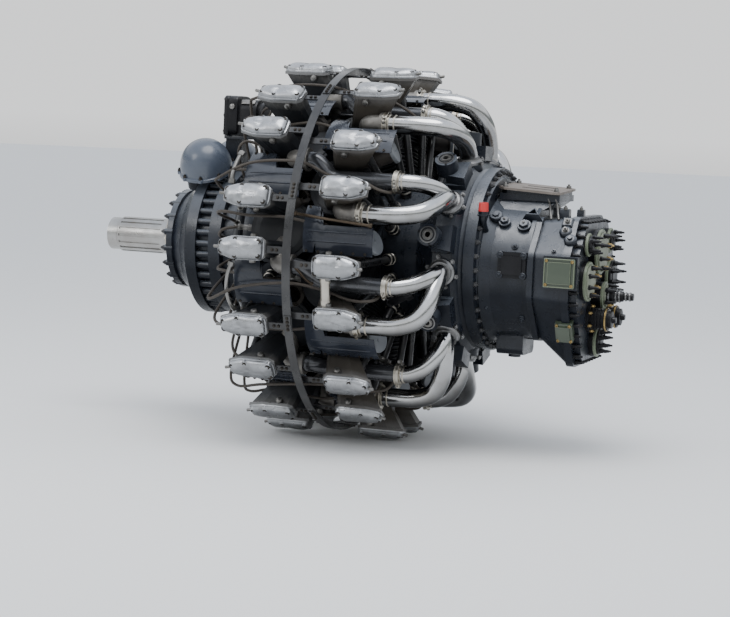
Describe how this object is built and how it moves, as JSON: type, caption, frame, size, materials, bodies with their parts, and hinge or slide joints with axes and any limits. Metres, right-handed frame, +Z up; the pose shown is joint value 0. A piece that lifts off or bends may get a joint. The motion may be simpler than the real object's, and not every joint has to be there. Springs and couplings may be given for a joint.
{
  "type": "radial engine",
  "caption": "Two-row air-cooled radial aircraft engine with finned cylinders, silver rocker covers, polished intake pipes, blower and accessory section.",
  "frame": {"origin": "crankshaft axis in the plane of the nine mounting bushes", "axes": "+X along the crankshaft to the accessory end, +Z up, -Y to the engine's left seen from the rear"},
  "size_m": [2.019, 1.3408, 1.3334],
  "materials": {
    "bare_plate": "dirty, stained",
    "bare_steel": "worn bare steel",
    "blue_grey": "satin blue-grey",
    "bush_steel": "oily steel",
    "case_paint": "blue-black enamel, semi-gloss",
    "cast_elbow": "cast, dirty",
    "clamp_metal": "dull plated",
    "conduit": "satin black",
    "cylinder_black": "black enamel",
    "dark_tube": "dark satin",
    "gloss_baffle": "semi-gloss blue-black paint",
    "olive_cover": "olive green satin",
    "pad_grey": "grey-green primer",
    "plated_steel": "plated, dulled",
    "polished_pipe": "polished, slightly yellowed near the clamps",
    "red_plastic": "matt red",
    "rusty_stub": "heat-stained and dirty",
    "satin_black": "satin black",
    "silver_cover": "silver painted aluminium, scuffed"
  },
  "bodies": {
    "propeller": {"propeller_shaft": "bare_steel"},
    "engine": {"accessory_case": "case_paint", "baffle_ring": "gloss_baffle", "baffles": "gloss_baffle", "blower_front_case": "case_paint", "blower_rear_case": "case_paint", "carburettor_cover": "bare_plate", "crankcase_center": "case_paint", "crankcase_front": "case_paint", "crankcase_rear": "case_paint", "distributor_domes": "blue_grey", "exhaust_stubs": "rusty_stub", "front_accessory_case": "case_paint", "front_cylinder_1": "cylinder_black", "front_cylinder_2": "cylinder_black", "front_cylinder_3": "cylinder_black", "front_cylinder_4": "cylinder_black", "front_cylinder_5": "cylinder_black", "front_cylinder_6": "cylinder_black", "front_cylinder_7": "cylinder_black", "front_cylinder_8": "cylinder_black", "front_cylinder_9": "cylinder_black", "front_intake_tubes": "dark_tube", "ignition_manifold": "conduit", "intake_clamps": "clamp_metal", "intake_elbows": "cast_elbow", "intake_pipes": "polished_pipe", "magneto": "satin_black", "mount_brackets": "case_paint", "mount_bushes": "bush_steel", "nose_case": "case_paint", "oil_sump": "case_paint", "plug_cap": "red_plastic", "pushrod_tubes": "plated_steel", "rear_cylinder_1": "cylinder_black", "rear_cylinder_2": "cylinder_black", "rear_cylinder_3": "cylinder_black", "rear_cylinder_4": "cylinder_black", "rear_cylinder_5": "cylinder_black", "rear_cylinder_6": "cylinder_black", "rear_cylinder_7": "cylinder_black", "rear_cylinder_8": "cylinder_black", "rear_cylinder_9": "cylinder_black", "rear_pads": "pad_grey", "rocker_covers_front": "silver_cover", "rocker_covers_rear": "silver_cover", "side_cover_black": "satin_black", "side_covers_green": "olive_cover", "spark_plugs": "plated_steel", "starter_drive": "bare_steel", "thrust_bearing": "bush_steel", "thrust_cover": "clamp_metal"}
  },
  "joints": [
    {"name": "propeller_spin", "type": "hinge", "parent": "engine", "child": "propeller", "pos_m": [-1.1, 0, 0], "axis": [1, 0, 0], "continuous": true}
  ]
}
